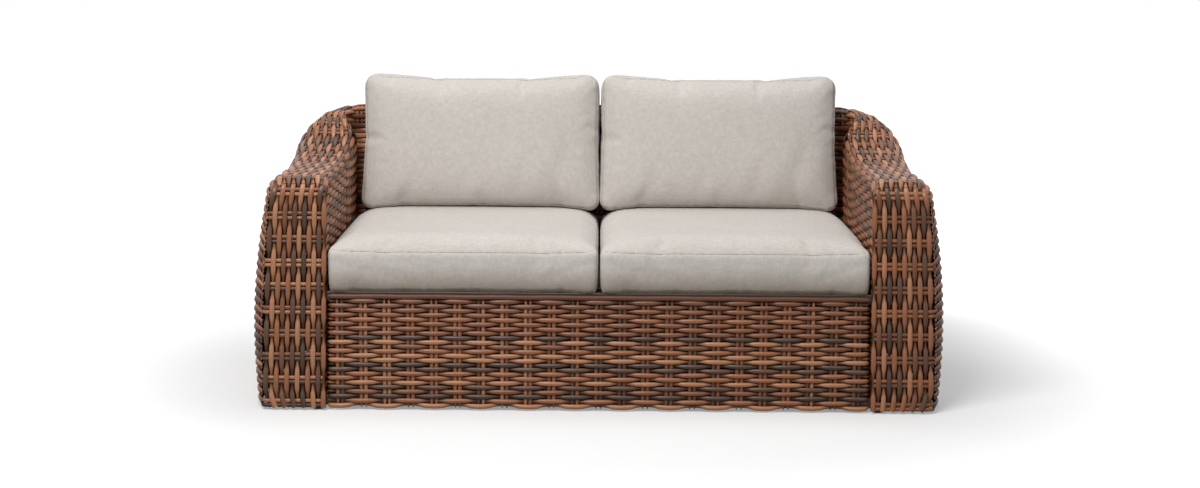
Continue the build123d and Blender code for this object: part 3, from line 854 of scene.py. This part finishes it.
YARN_STRETCHES = ((900.0, 120.0, 120.0), (120.0, 900.0, 120.0), (120.0, 120.0, 900.0))
YARN_RANGE = (1.15, 1.85)  # of the three noises' sum
YARN_SHADE = (0.90, 1.07)
LINEN_TONES = ((0.3, srgb(199, 193, 187)), (0.7, srgb(203, 197, 191)))
FOOT_SHADE_RANGE = (-0.015, 0.064)  # height over the pad's underside over which the painted shade fades out
# painted shade, darkest and warmest at the pad's lower edge
FOOT_SHADE_TONES = ((0.0, (0.48, 0.41, 0.33, 1.0)), (1.0, (1.0, 1.0, 1.0, 1.0)))


def linen_material(name, shade):
    """Woven outdoor cloth: fine crossed yarns on a slightly mottled warm grey, with painted shade that
    darkens it towards the lower edge.
    """
    surface = new_surface(name)
    place = surface.attribute("grain", "Vector")
    yarns = 0.0
    for stretch in YARN_STRETCHES:
        stretched = surface.add("Mapping", {"Vector": place, "Scale": stretch})
        yarn = surface.noise({"Vector": stretched, "Scale": 0.55, "Detail": 2.0})
        yarns = surface.math("ADD", yarns, yarn)
    mottle = surface.noise({"Vector": place, "Scale": 6.0, "Detail": 6.0})
    grain = surface.map_range(yarns, YARN_RANGE, [share * shade for share in YARN_SHADE])
    # painted shade by height in the pad's own axes: the seat pads' lower edge, the back pads' rear face
    height = surface.add("SeparateXYZ", {"Vector": place}, "Z")
    painted_foot_shade = surface.ramp(surface.map_range(height, FOOT_SHADE_RANGE, (0.0, 1.0)), FOOT_SHADE_TONES)
    tint = surface.vector_math("SCALE", surface.ramp(mottle, LINEN_TONES), grain)
    return surface.finish({
        "Base Color": surface.vector_math("MULTIPLY", tint, painted_foot_shade),
        "Normal": surface.bump(yarns, 0.35, 0.0006),
        "Roughness": 0.9,
        "Specular IOR Level": 0.25,
        "Sheen Weight": 0.15,
        "Sheen Roughness": 0.5,
    })


linen = linen_material("cushion_linen", 1.0)
linen_seam = linen_material("cushion_linen_seam", 0.82)


# Cushions
VOXEL = 0.0085
PAD_POINTS = 60  # of its grid along a side, and up an edge
PAD_EDGE_POINTS = 16
CLOTH_FRAMES = 20
CLOTH = {
    "quality": 5,
    "mass": 0.3,
    "tension_stiffness": 18,
    "compression_stiffness": 12,
    "shear_stiffness": 6,
    "bending_stiffness": 0.6,
    "use_pressure": True,
    "uniform_pressure_force": 4.0,
}
SWELL_LIMIT = 0.022
CORNER_ROUND = {"seat": 0.026, "back": 0.046}  # seen square on
EDGE_ROUND = 0.016  # across the upper seam
FOOT_ROUND = 0.012  # across the lower seam, and how high that rounding starts
FOOT_RISE = 0.056
SIDE_ROUND_SHARE = 0.45  # how much of that the sides take
SIDE_DRAW = 0.002  # the sides pull in between the corners
SIDE_FROM = 0.97  # past this share of its half size a point counts as on a side
DOME = (2.4, 0.6)  # how flat the crown's middle is, and how steep its slopes
SEAM_POINTS = 480
SEAM_SQUARE = 24  # how sharply a seam turns its corners
SEAM_WIDTH = 0.0032
SEAM_DEPTH = 0.0016
SEAM_THREAD = 0.0016
THREAD_SINK = 0.15  # share of it that lies in the cloth
WIDTH_PLACES = 12  # where a pad's width is measured, and how much of its length counts there
WIDTH_REACH = 0.03
SEAT_HANG = 0.0150  # below the deck's top
CORNER_HANG = 0.0135
HANG_FRONT = (0.034, 0.014)  # the seat pads hang from this far behind their front, easing in over this
HANG_FROM = 0.055  # and below this height
SPREAD_BELOW = 0.20  # the back pads' lower part spreads: outwards, inwards, and all along outside
SPREADS = (0.008, 0.003, 0.003)
PUCKER = 0.0007
PUCKER_WIDTH = 0.016
PUCKER_WAVES = 9
PUCKER_LENGTHS = (0.016, 0.055)
SEAM_REACH = 0.045  # past this a seam changes nothing
RIDGE = (0.45, 1.9, 1.2)  # of those beside a fold: share of its height, distance and width in its widths
FOLD_ENDS = (0.86, 0.07, 0.8)  # stretch, shift and power of the sine that fades a fold out at its ends
PRESS_LENGTH = 0.0022  # over which a pad eases into a limit


def drawn_in(x, y, half_w, half_l):
    """Places on a pad's outline whose sides pull in between the corners, from shares of its half sizes."""
    return x * (half_w - SIDE_DRAW * (1 - y ** 4)), y * (half_l - SIDE_DRAW * (1 - x ** 4))


def cushion_start(width, length, edge, crown, corner):
    """Grid of a boxed pad before it is stuffed: its length along y, its crown up."""
    along = np.linspace(-1, 1, PAD_POINTS)
    up = np.linspace(-1, 1, PAD_EDGE_POINTS)
    points, faces, index = [], [], {}

    def vertex(point):
        key = tuple(np.round(point, 4))
        if key not in index:
            index[key] = len(points)
            points.append(point)
        return index[key]

    sides = (
        (along, along, lambda a, b: (a, b, 1.0)), (along, along, lambda a, b: (b, a, -1.0)),
        (along, up, lambda a, b: (a, -1.0, b)), (along, up, lambda a, b: (-a, 1.0, b)),
        (along, up, lambda a, b: (1.0, a, b)), (along, up, lambda a, b: (-1.0, -a, b)),
    )
    for first, second, place in sides:
        ids = [[vertex(place(a, b)) for b in second] for a in first]
        for i in range(len(first) - 1):
            for j in range(len(second) - 1):
                faces.append((ids[i][j], ids[i + 1][j], ids[i + 1][j + 1], ids[i][j + 1]))
    x, y, z = np.array(points).T
    half_w, half_l = width / 2, length / 2
    px, py = drawn_in(x, y, half_w, half_l)
    over_x = np.maximum(0, np.abs(px) - (half_w - corner))
    over_y = np.maximum(0, np.abs(py) - (half_l - corner))
    reach = np.hypot(over_x, over_y)
    trim = np.where(reach > corner, corner / np.maximum(reach, 1e-9), 1.0)
    px = np.sign(px) * (np.abs(px) - over_x * (1 - trim))
    py = np.sign(py) * (np.abs(py) - over_y * (1 - trim))
    tall, deep = np.where(z > 0, [[EDGE_ROUND]] * 2, [[FOOT_RISE], [FOOT_ROUND]])
    edge_in = np.clip((np.abs(z) - 1) * edge / 2 / tall + 1, 0, 1)
    pull = deep * (1 - np.sqrt(1 - edge_in ** 2))
    px = px - np.sign(px) * pull * SIDE_ROUND_SHARE * (np.abs(x) > SIDE_FROM)
    py = py - np.sign(py) * pull * (np.abs(y) > SIDE_FROM)
    dome = np.clip((1 - np.abs(x) ** DOME[0]) * (1 - np.abs(y) ** DOME[0]), 0, 1) ** DOME[1]
    pz = (z + 1) * edge / 2 + np.where(z > 0.999, crown * dome, 0.0)
    return np.stack([px, py + half_l, pz], 1), faces


def link_mesh(name, points, faces):
    mesh = bpy.data.meshes.new(name)
    mesh.from_pydata(np.asarray(points).tolist(), [], faces)
    mesh.update()
    return show(name, mesh)


def apply_modifiers(piece):
    """Turns what the modifiers show into the piece's own mesh."""
    depsgraph = bpy.context.evaluated_depsgraph_get()
    mesh = bpy.data.meshes.new_from_object(piece.evaluated_get(depsgraph))
    piece.modifiers.clear()
    old = piece.data
    piece.data = mesh
    bpy.data.meshes.remove(old)


def vectors(source, name):
    values = np.empty(len(source) * 3, np.float32)
    source.foreach_get(name, values)
    return values.reshape(-1, 3).astype(float)


def coordinates(piece):
    return vectors(piece.data.vertices, "co")


def set_coordinates(piece, points):
    piece.data.vertices.foreach_set("co", points.astype(np.float32).ravel())
    piece.data.update()


def normals_of(piece):
    return vectors(piece.data.vertex_normals, "vector")


def stuff(piece, give):
    """Blows the pad up as cloth and keeps each point within reach of where it was.

    give is the share of the movement that is kept: sideways, lengthways near and far, and up."""
    remesh = piece.modifiers.new("remesh", "REMESH")
    remesh.mode = "VOXEL"
    remesh.voxel_size = VOXEL
    apply_modifiers(piece)
    before = coordinates(piece)
    cloth = piece.modifiers.new("cloth", "CLOTH")
    for name, value in CLOTH.items():
        setattr(cloth.settings, name, value)
    cloth.settings.effector_weights.gravity = 0.0
    scene = bpy.context.scene
    for number in range(1, CLOTH_FRAMES + 1):
        scene.frame_set(number)
    apply_modifiers(piece)
    scene.frame_set(1)
    moved = coordinates(piece) - before
    length = before[:, 1].max()
    across, near, far, up = give
    moved *= np.stack([
        np.full(len(before), across), np.interp(before[:, 1] / length, (0.3, 0.8), (near, far)),
        np.full(len(before), up),
    ], 1)
    distance = np.linalg.norm(moved, axis=1, keepdims=True)
    kept = SWELL_LIMIT * np.tanh(distance / SWELL_LIMIT) / np.maximum(distance, 1e-9)
    set_coordinates(piece, before + moved * kept)
    subdivision = piece.modifiers.new("subdivision", "SUBSURF")
    subdivision.levels = 1
    apply_modifiers(piece)


def seam_line(width, length, height):
    """Closed line of a seam round the pad, before it is stuffed."""
    half_w, half_l = width / 2, length / 2
    points = []
    for share in np.linspace(0, 1, SEAM_POINTS, endpoint=False):
        turn = share * 2 * math.pi
        cos, sin = math.cos(turn), math.sin(turn)
        scale = 1 / (abs(cos) ** SEAM_SQUARE + abs(sin) ** SEAM_SQUARE) ** (1 / SEAM_SQUARE)
        px, py = drawn_in(cos * scale, sin * scale, half_w, half_l)
        points.append((px, py + half_l, height))
    return np.array(points)


def on_surface(piece, points):
    """The nearest places on a piece, and the normals there."""
    found = [piece.closest_point_on_mesh(Vector(point)) for point in points]
    return np.array([f[1] for f in found]), np.array([f[2] for f in found])


def smooth_loop(points, rounds):
    for _ in range(rounds):
        points = points * 0.5 + (np.roll(points, 1, 0) + np.roll(points, -1, 0)) * 0.25
    return points


def sew(piece, lines, seed):
    """Presses the seams in, with small puckers across them."""
    rng = np.random.default_rng(seed)
    points, normals = coordinates(piece), normals_of(piece)
    shift = np.zeros(len(points))
    for line in lines:
        tree = KDTree(len(line))
        for number, point in enumerate(line):
            tree.insert(point, number)
        tree.balance()
        steps = np.linalg.norm(np.diff(line, axis=0, append=line[:1]), axis=1)
        run = np.concatenate([[0], np.cumsum(steps)[:-1]])
        pucker = np.zeros(len(line))
        for _ in range(PUCKER_WAVES):
            length = rng.uniform(*PUCKER_LENGTHS)
            pucker += rng.uniform(0.3, 1.0) * np.sin(2 * math.pi * run / length + rng.uniform(0, 6.3))
        pucker /= np.abs(pucker).max()
        for number, point in enumerate(points):
            _, near, distance = tree.find(point)
            if distance < SEAM_REACH:
                shift[number] -= SEAM_DEPTH * math.exp(-(distance / SEAM_WIDTH) ** 2)
                shift[number] += PUCKER * pucker[near] * math.exp(-(distance / PUCKER_WIDTH) ** 2)
    set_coordinates(piece, points + normals * shift[:, None])


def crease(piece, marks):
    """Soft folds: each mark is a start, an end, a width and a height, in the pad's own axes."""
    points, normals = coordinates(piece), normals_of(piece)
    shift = np.zeros(len(points))
    for start, end, width, height in marks:
        start, end = np.array(start), np.array(end)
        run = end - start
        length = np.linalg.norm(run)
        share = np.clip((points - start) @ run / length ** 2, 0, 1)
        away = np.linalg.norm(points - (start + share[:, None] * run), axis=1)
        stretch, shift_in, power = FOLD_ENDS
        fade = np.sin(math.pi * np.clip(share * stretch + shift_in, 0, 1)) ** power
        rise, distance, spread = RIDGE
        ridges = rise * np.exp(-((away - distance * width) / (spread * width)) ** 2)
        valley = np.exp(-(away / width) ** 2) - ridges
        shift -= height * fade * valley
    set_coordinates(piece, points + normals * shift[:, None])


def fit_within(points, low, high):
    """Presses the pad flat where it would pass its neighbours, easing into the limit."""
    for axis in range(3):
        over = points[:, axis] - high[axis]
        points[:, axis] = high[axis] - PRESS_LENGTH * np.logaddexp(0, -over / PRESS_LENGTH)
        under = low[axis] - points[:, axis]
        points[:, axis] = low[axis] + PRESS_LENGTH * np.logaddexp(0, -under / PRESS_LENGTH)
    return points


def sag(kind, side, points, high):
    """The seat pads' front hangs over the border; the back pads' lower corners spread and hang down."""
    x, y, z = points.T.copy()
    if kind == "seat":
        near = np.clip((HANG_FRONT[0] - y) / HANG_FRONT[1], 0, 1)
        points[:, 2] -= SEAT_HANG * ease(near) * np.clip((HANG_FROM - z) / HANG_FROM, 0, 1)
    else:
        lower = ease(np.clip((SPREAD_BELOW - y) / SPREAD_BELOW, 0, 1))
        edge = np.abs(x) / high[0]
        outer = (x < 0) if side == "left" else (x > 0)
        spread = lower * np.where(outer, *SPREADS[:2]) + np.where(outer, SPREADS[2], 0.0)
        points[:, 0] += np.sign(x) * edge * spread
        points[:, 1] -= CORNER_HANG * lower * edge ** 5
    return points


def seam_piece(name, lines, body, place, rotation):
    """The sewn edge itself: a thin rolled line of cloth that lies in the pressed seam."""
    seam = Weave(name)
    for line, normals in lines:
        loop = np.concatenate([line, line[:1]])
        ups = np.concatenate([normals, normals[:1]])
        seam.strand(loop @ rotation.T + place, ups @ rotation.T, SEAM_THREAD, SEAM_THREAD, 0.5, taper=False)
    piece = seam.build(linen_seam)
    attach(piece, body)
    return piece


def cushion(side, kind, measures, low, high, place, turn, seed, give, marks):
    """A stuffed cushion in the space of its solid.

    measures are its width, length, edge and crown before it is stuffed. low and high are the limits of its
    space in its own axes."""
    width, length, edge, crown = measures
    body = f"{kind}_cushion_{side}"
    points, faces = cushion_start(width, length, edge, crown, CORNER_ROUND[kind])
    piece = link_mesh(f"{body}_fabric", points, faces)
    stuff(piece, give)
    points = coordinates(piece)
    points[:, 1] = (points[:, 1] - points[:, 1].min()) * (high[1] - low[1]) / np.ptp(points[:, 1]) + low[1]
    places = np.linspace(CORNER_LENGTH, length - CORNER_LENGTH, WIDTH_PLACES)
    widest = [np.abs(points[np.abs(points[:, 1] - place) < WIDTH_REACH, 0]).max() for place in places]
    points[:, 0] *= high[0] / np.interp(points[:, 1], places, widest)
    set_coordinates(piece, sag(kind, side, fit_within(points, low, high), high))
    crease(piece, marks)
    lines = []
    for height in (edge, -SEAT_HANG if kind == "seat" else 0.0):
        line, _ = on_surface(piece, seam_line(width, length, height))
        lines.append(smooth_loop(line, 4))
    sew(piece, lines, seed)
    threads = []
    for line in lines:
        spots, ups = on_surface(piece, line)
        threads.append((smooth_loop(spots, 2) - ups * SEAM_THREAD * THREAD_SINK, ups))
    own_axes = coordinates(piece)
    rotation = np.array(Euler((turn, 0, 0)).to_matrix())
    set_coordinates(piece, own_axes @ rotation.T + np.array(place))
    grain = piece.data.attributes.new("grain", "FLOAT_VECTOR", "POINT")
    grain.data.foreach_set("vector", own_axes.astype(np.float32).ravel())
    piece.data.polygons.foreach_set("use_smooth", np.ones(len(piece.data.polygons), bool))
    piece.data.materials.clear()
    piece.data.materials.append(linen)
    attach(piece, body)
    core = "foam" if kind == "seat" else "filling"
    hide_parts(f"{body}_cover", f"{body}_{core}")
    seam_piece(f"{body}_seam", threads, body, np.array(place), rotation)


SIDES = (("left", -1), ("right", 1))
CORNER_LENGTH = 0.045  # at each end, where a pad's width isn't measured
CLEAR = 0.0035  # between a cushion and the solid round it
SEAT_CLEAR = 0.0006
SEAT_EDGE = 0.104
SEAT_TRIM = (0.001, 0.001, 0.002, 0.010)  # off its width, length, edge and crown, for the stuffing
SEAT_ROOM = (0.004, 0.001, 0.004)  # past its front and underside, and short of its top
SEAT_GIVE = (0.35, 0.5, 0.3, 0.9)
BACK_EDGE = 0.158
BACK_CROWN = 0.030
BACK_WIDTH = 0.692
BACK_LENGTH = 0.386
BACK_TRIM = (0.003, -0.004, 0.016, 0.004)
BACK_ROOM = (0.002, 0.008)  # past its lower and upper end
BACK_RISE = 0.002
BACK_GIVE = (0.35, 0.2, 0.75, 0.8)
FACE = BACK_EDGE + 0.016  # height of the back pads' marks


def seat_marks(inner):
    """inner is -1 or 1, towards the other pad."""
    return (
        ((-0.34, 0.004, 0.070), (-0.16, 0.002, 0.030), 0.013, 0.0014),
        ((0.22, 0.004, 0.030), (0.345, 0.004, 0.078), 0.012, 0.0014),
        ((inner * 0.335, 0.03, 0.10), (inner * 0.30, 0.16, 0.115), 0.010, 0.0020),
        ((-inner * 0.335, 0.05, 0.10), (-inner * 0.29, 0.11, 0.113), 0.010, 0.0020),
    )


def back_marks(half):
    return (
        ((-0.22, 0.00, FACE), (-0.16, 0.16, FACE + 0.01), 0.022, 0.0022),
        ((-0.07, 0.00, FACE), (-0.03, 0.13, FACE + 0.01), 0.020, 0.0016),
        ((0.09, 0.00, FACE), (0.13, 0.15, FACE + 0.01), 0.020, 0.0020),
        ((0.20, 0.01, FACE), (0.26, 0.20, FACE + 0.01), 0.024, 0.0026),
        ((-half, 0.10, 0.11), (-half + 0.06, 0.13, FACE), 0.010, 0.0020),
        ((half, 0.10, 0.11), (half - 0.07, 0.14, FACE), 0.010, 0.0024),
    )


for seed, (side, sign) in enumerate(SIDES, 11):
    low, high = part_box(f"seat_cushion_{side}_cover")
    width, length = high[0] - low[0] - 2 * SEAT_CLEAR, high[1] - low[1] - CLEAR - SEAT_CLEAR
    top = high[2] - low[2]
    cushion(
        side, "seat", np.array([width, length, SEAT_EDGE, top - SEAT_EDGE]) - SEAT_TRIM,
        (-width / 2, -SEAT_ROOM[0], -SEAT_ROOM[1]), (width / 2, length, top - SEAT_ROOM[2]),
        ((low[0] + high[0]) / 2, low[1] + SEAT_CLEAR, low[2] + SEAT_CLEAR), 0.0,
        seed, SEAT_GIVE, seat_marks(-sign),
    )
back_rake = math.atan2(BACK_LEAN, BACK_HEIGHT - GROUND_GAP)
for seed, (side, _) in enumerate(SIDES, 21):
    low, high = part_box(f"back_cushion_{side}_cover")
    foot_z = float(low[2])
    share = (foot_z - GROUND_GAP) / (BACK_HEIGHT - GROUND_GAP)
    foot_y = FRONT + BACK_WALL + BACK_LEAN * share - CLEAR / math.cos(back_rake)
    half = BACK_WIDTH / 2
    cushion(
        side, "back", np.array([BACK_WIDTH, BACK_LENGTH, BACK_EDGE, BACK_CROWN]) - BACK_TRIM,
        (-half, -BACK_ROOM[0], 0.0), (half, BACK_LENGTH + BACK_ROOM[1], BACK_EDGE + BACK_CROWN),
        ((low[0] + high[0]) / 2, foot_y, foot_z + BACK_RISE), math.pi / 2 - back_rake,
        seed, BACK_GIVE, back_marks(half),
    )

# Floor, light and camera
FLOOR_HALF = 14.0
FLOOR_COLOUR = 0.62
FLOOR_GLOW = 0.30  # evens out the floor's white for the camera; as painted light it also lightens the sofa's shadow beside it
FOOTPRINT_X = (77.0, -70.3)  # slope and shift: 0 under the sofa, 1 at its edge; the glow is held off under the sofa
FOOTPRINT_Y = (11.8, -3.50)
FLOOR_BOUNCE = 0.42
FLOOR_CLEAR = 1.0  # the floor turns to plain white between these distances
FLOOR_WHITE = 2.3
PHOTO_WIDTH_PX = 1200
FOCAL_PX = 2000.0
HORIZON_DROP_PX = 289.0
PRINCIPAL_X_PX = 599.3
CAMERA_DISTANCE = 5.2
CAMERA_HEIGHT = 1.204
CAMERA_ROLL_DEGREES = 0.40
SENSOR_MM = 36.0
WHITE = (1.0, 1.0, 1.0, 1.0)
WORLD_LIGHT = 0.30  # of the white surroundings on matt surfaces
LIGHTS = (  # name, place, aim, size and watts
    ("key", (-1.3, -3.0, 4.0), (0.0, 0.0, 0.4), (2.2, 1.4), 176),
    ("top", (0.3, 0.5, 4.0), (0.0, 0.1, 0.4), (3.0, 1.6), 36),
)


def floor():
    """Pale floor. A glow for the camera alone evens out its white away from the sofa, and as painted light
    lightens the sofa's contact shadow beside it; under the sofa it is held off.
    """
    corners = [(x * FLOOR_HALF, y * FLOOR_HALF, 0) for x, y in ((-1, -1), (1, -1), (1, 1), (-1, 1))]
    piece = link_mesh("floor", corners, [(0, 1, 2, 3)])
    surface = new_surface("floor_white")
    seen = surface.add("LightPath", {}, "Is Camera Ray")
    place = surface.add("TexCoord", {}, "Object")
    distance = surface.vector_math("LENGTH", place)
    far = surface.map_range(distance, (FLOOR_CLEAR, FLOOR_WHITE), (FLOOR_GLOW, 1.0), "SMOOTHSTEP")
    sides = []
    for axis, (slope, shift) in (("X", FOOTPRINT_X), ("Y", FOOTPRINT_Y)):
        away = surface.math("ABSOLUTE", surface.add("SeparateXYZ", {"Vector": place}, axis))
        sides.append(surface.math("MULTIPLY_ADD", away, slope, shift))
    near = surface.map_range(surface.math("MAXIMUM", *sides), (0.0, 1.0), (0.0, 1.0), "SMOOTHSTEP")
    glow = surface.math("MULTIPLY", near, far)
    piece.data.materials.append(surface.finish({
        "Base Color": surface.map_range(seen, (0.0, 1.0), (FLOOR_BOUNCE, FLOOR_COLOUR)),
        "Roughness": 0.9,
        "Specular IOR Level": 0.1,
        "Emission Color": WHITE,
        "Emission Strength": surface.math("MULTIPLY", glow, seen),
    }))


def area_light(name, place, target, size, power):
    data = bpy.data.lights.new(name, "AREA")
    data.shape = "RECTANGLE"
    data.size, data.size_y = size
    data.energy = power
    lamp = show(name, data)
    lamp.location = place
    lamp.rotation_euler = (Vector(target) - Vector(place)).to_track_quat("-Z", "Y").to_euler()


def world():
    """White surroundings: plain white for the camera and in reflections, weaker as light."""
    scene = bpy.context.scene
    scene.world = bpy.data.worlds.new("studio")
    surface = Surface(scene.world, "Background")
    rays = (surface.add("LightPath", {}, f"Is {kind} Ray") for kind in ("Camera", "Glossy"))
    seen = surface.math("MAXIMUM", *rays)
    surface.finish({"Color": WHITE, "Strength": surface.map_range(seen, (0.0, 1.0), (WORLD_LIGHT, 1.0))})


def camera():
    data = bpy.data.cameras.new("camera")
    data.sensor_width = SENSOR_MM
    data.lens = FOCAL_PX / PHOTO_WIDTH_PX * SENSOR_MM
    data.shift_x = (PHOTO_WIDTH_PX / 2 - PRINCIPAL_X_PX) / PHOTO_WIDTH_PX
    piece = show("camera", data)
    pitch = math.atan(HORIZON_DROP_PX / FOCAL_PX)
    piece.location = (0.0, FRONT - CAMERA_DISTANCE, CAMERA_HEIGHT)
    look = Euler((math.pi / 2 - pitch, 0, 0)).to_matrix()
    roll = Euler((0, 0, math.radians(CAMERA_ROLL_DEGREES))).to_matrix()
    piece.rotation_euler = (look @ roll).to_euler()
    bpy.context.scene.camera = piece


floor()
for light in LIGHTS:
    area_light(*light)
world()
camera()
bpy.context.scene.view_settings.view_transform = "Standard"
